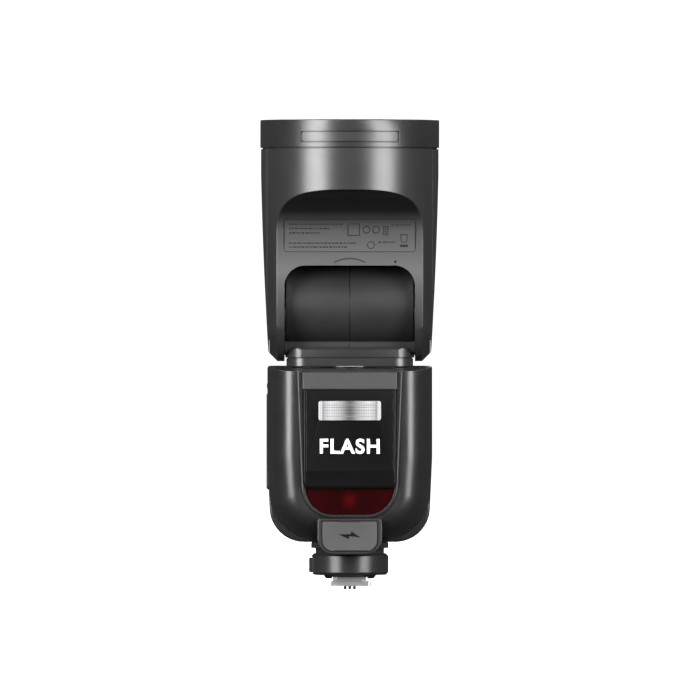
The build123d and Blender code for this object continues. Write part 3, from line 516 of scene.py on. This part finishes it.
def plate_edge():
    """Fine raised line round the rating plate."""
    half_width, bottom, top, r = 28.55, 145.5, 159.6, 1.3
    line = []
    for x, z, start in ((half_width - r, top - r, 0), (-half_width + r, top - r, 90),
                        (-half_width + r, bottom + r, 180), (half_width - r, bottom + r, 270)):
        line += round_points(x, z, r, 6, start, 108)
    line.append(line[0])
    scoop_piece("rating_plate_edge", [stroke(line, 0.22)], "print", proud=0.05)


def tilt_arc():
    """Small moulded arc above the tilt opening."""
    line = round_points(0, 128.6, 14.0, 18, 61, 61.5)
    scoop_piece("tilt_arc_mark", [stroke(line, 0.5)], "shell", proud=0.16)


def back_signs():
    """Plain pictograms on the rear keys."""
    line_width, menu_bar_half = 0.35, 0.17
    round_key_signs = {
        "mode_sign": ("mode_key", [
            stroke(round_points(-22.5, 44.0, 1.3, 20, 60, 300), line_width),
            bar(-22.68, -22.32, 44.2, 46.0)]),
        "menu_sign": ("menu_key", [
            bar(-23.9, -21.1, z - menu_bar_half, z + menu_bar_half) for z in (31.0, 32.0, 33.0)]),
        "wireless_sign": ("wireless_key", [
            stroke(round_points(21.3, 43.0, r, 10, 10, 80), line_width) for r in (1.0, 1.9, 2.8)]),
        "test_sign": ("test_key", [
            [(22.9, 34.2), (21.4, 31.7), (22.4, 31.7), (22.0, 29.8), (23.6, 32.5), (22.6, 32.5)]]),
    }
    for name, (body, shapes) in round_key_signs.items():
        flat_piece(name, turned(shapes), 27.97, 28.05, "white", body)
    for n, x in enumerate((-18.0, -6.0, 6.0, 18.0), 1):
        flat_piece(f"soft_sign_{n}", [bar(x - 1.4, x + 1.4, 55.3, 55.7)], 27.87, 27.93, "white",
                   f"soft_{n}")
    flat_piece("set_sign", [ring_line(0, 38, 1.6, 0.4)], 29.35, 29.43, "white", "set_key")


def screen_lines():
    """Faint border, status line and key labels of the switched-off rear display."""
    half_width, bottom, top = 22.4, 63.6, 89.4
    label_half, label_z, status_half, status_z = 3.6, 66.2, 20.0, 84.6
    shapes = [box_line(-half_width, half_width, bottom, top, 0.3)]
    for x in (-17.0, -5.7, 5.7, 17.0):
        shapes.append(stroke([(x - label_half, label_z), (x + label_half, label_z)], 0.25))
    shapes.append(stroke([(-status_half, status_z), (status_half, status_z)], 0.2))
    flat_piece("display_lines", turned(shapes), 27.08, 27.14, "segment", "body")


screen_lines()
plate_print()
plate_edge()
tilt_arc()
back_signs()
wordmark()
window_lines()
flap_bolt()
index_mark()


# ---- surroundings (metres) -------------------------------------------------------------------
FLOOR_FRONT, FLOOR_BACK, HALF_WIDTH = -10.0, 9.0, 10.0
BEND_RADIUS, BEND_STEPS, WALL_TOP = 1.2, 24, 6.0
FLOOR_GAP = 0.0001
GLOW_NEAR, GLOW_FAR = 0.3, 2.2


def backdrop_material():
    """Pale paper that glows more with distance from the object."""
    shader = Shader("backdrop_paper")
    tone = shader.ramp(shader.noise(3.0, 2.0), [(0.3, (0.93,) * 3), (0.7, (0.95,) * 3)])
    apart = shader.nodes.new("ShaderNodeVectorMath")
    apart.operation = "LENGTH"
    shader.put(apart.inputs[0], shader.coords)
    away = shader.remap(apart.outputs["Value"], GLOW_NEAR, GLOW_FAR)
    glow = shader.ramp(away, [(0.0, (0.55,) * 3), (1.0, WHITE)])
    shader.set(Base_Color=tone, Roughness=0.9, Emission_Color=glow, Emission_Strength=1.0)
    return shader.material


def backdrop():
    """Pale sweep: floor that curves up behind the object."""
    profile = [(FLOOR_FRONT, 0.0), (FLOOR_BACK, 0.0)]
    for k in range(1, BEND_STEPS + 1):
        a = math.radians(90) * k / BEND_STEPS
        profile.append((FLOOR_BACK + BEND_RADIUS * math.sin(a),
                        BEND_RADIUS - BEND_RADIUS * math.cos(a)))
    profile.append((FLOOR_BACK + BEND_RADIUS, WALL_TOP))
    z_floor = before[0][2] - FLOOR_GAP
    verts, faces = [], []
    for y, z in profile:
        verts += [(side * HALF_WIDTH, y, z + z_floor) for side in (-1, 1)]
    for k in range(len(profile) - 1):
        faces.append((2 * k, 2 * k + 1, 2 * k + 3, 2 * k + 2))
    obj = mesh_object("backdrop", verts, faces)
    shade_smooth(obj)
    obj.data.materials.append(backdrop_material())
    obj.visible_glossy = False
    obj.visible_diffuse = False


def area_light(name, place, target, wide, tall, power):
    data = bpy.data.lights.new(name, "AREA")
    data.shape = "RECTANGLE"
    data.size, data.size_y = wide, tall
    data.energy = power
    obj = link(name, data)
    obj.location = place
    aim = Vector(target) - Vector(place)
    obj.rotation_euler = aim.to_track_quat("-Z", "Y").to_euler()


def lights():
    """Two upright strips beside the camera, soft fills, and light from above the backdrop."""
    strip_reach, strip_turn, strip_z = 0.9, math.radians(44), 0.32
    for side, power in ((-1, 18.0), (1, 15.5)):
        place = (side * strip_reach * math.sin(strip_turn), -strip_reach * math.cos(strip_turn),
                 strip_z)
        area_light("strip_light", place, (0, 0, 0.30), 0.42, 0.62, power)
    area_light("front_fill", (0, -2.2, 1.5), (0, 0, 0.1), 0.8, 0.5, 1.6)
    area_light("back_fill", (0.5, 2.4, 1.3), (0, 0, 0.1), 1.1, 0.7, 9.0)
    area_light("backdrop_light", (0, 1.0, 2.2), (0, 2.3, 0.4), 3.0, 0.6, 130.0)
    area_light("floor_light", (0, 0.6, 1.6), (0, 1.0, 0.0), 2.5, 0.8, 30.0)
    world = bpy.data.worlds.new("studio")
    world.use_nodes = True
    back = world.node_tree.nodes["Background"]
    back.inputs["Color"].default_value = (*WHITE, 1)
    back.inputs["Strength"].default_value = 0.055
    bpy.context.scene.world = world


def camera():
    """Long lens, level with the middle of the object."""
    data = bpy.data.cameras.new("main_camera")
    data.sensor_width = 36.0
    data.lens = 944.0
    data.clip_end = 20.0
    obj = link("main_camera", data)
    obj.location = (0.0001, -8.0, 0.1028)
    obj.rotation_euler = (math.radians(90), 0, 0)
    bpy.context.scene.camera = obj


backdrop()
lights()
camera()
bpy.context.scene.view_settings.view_transform = "Standard"
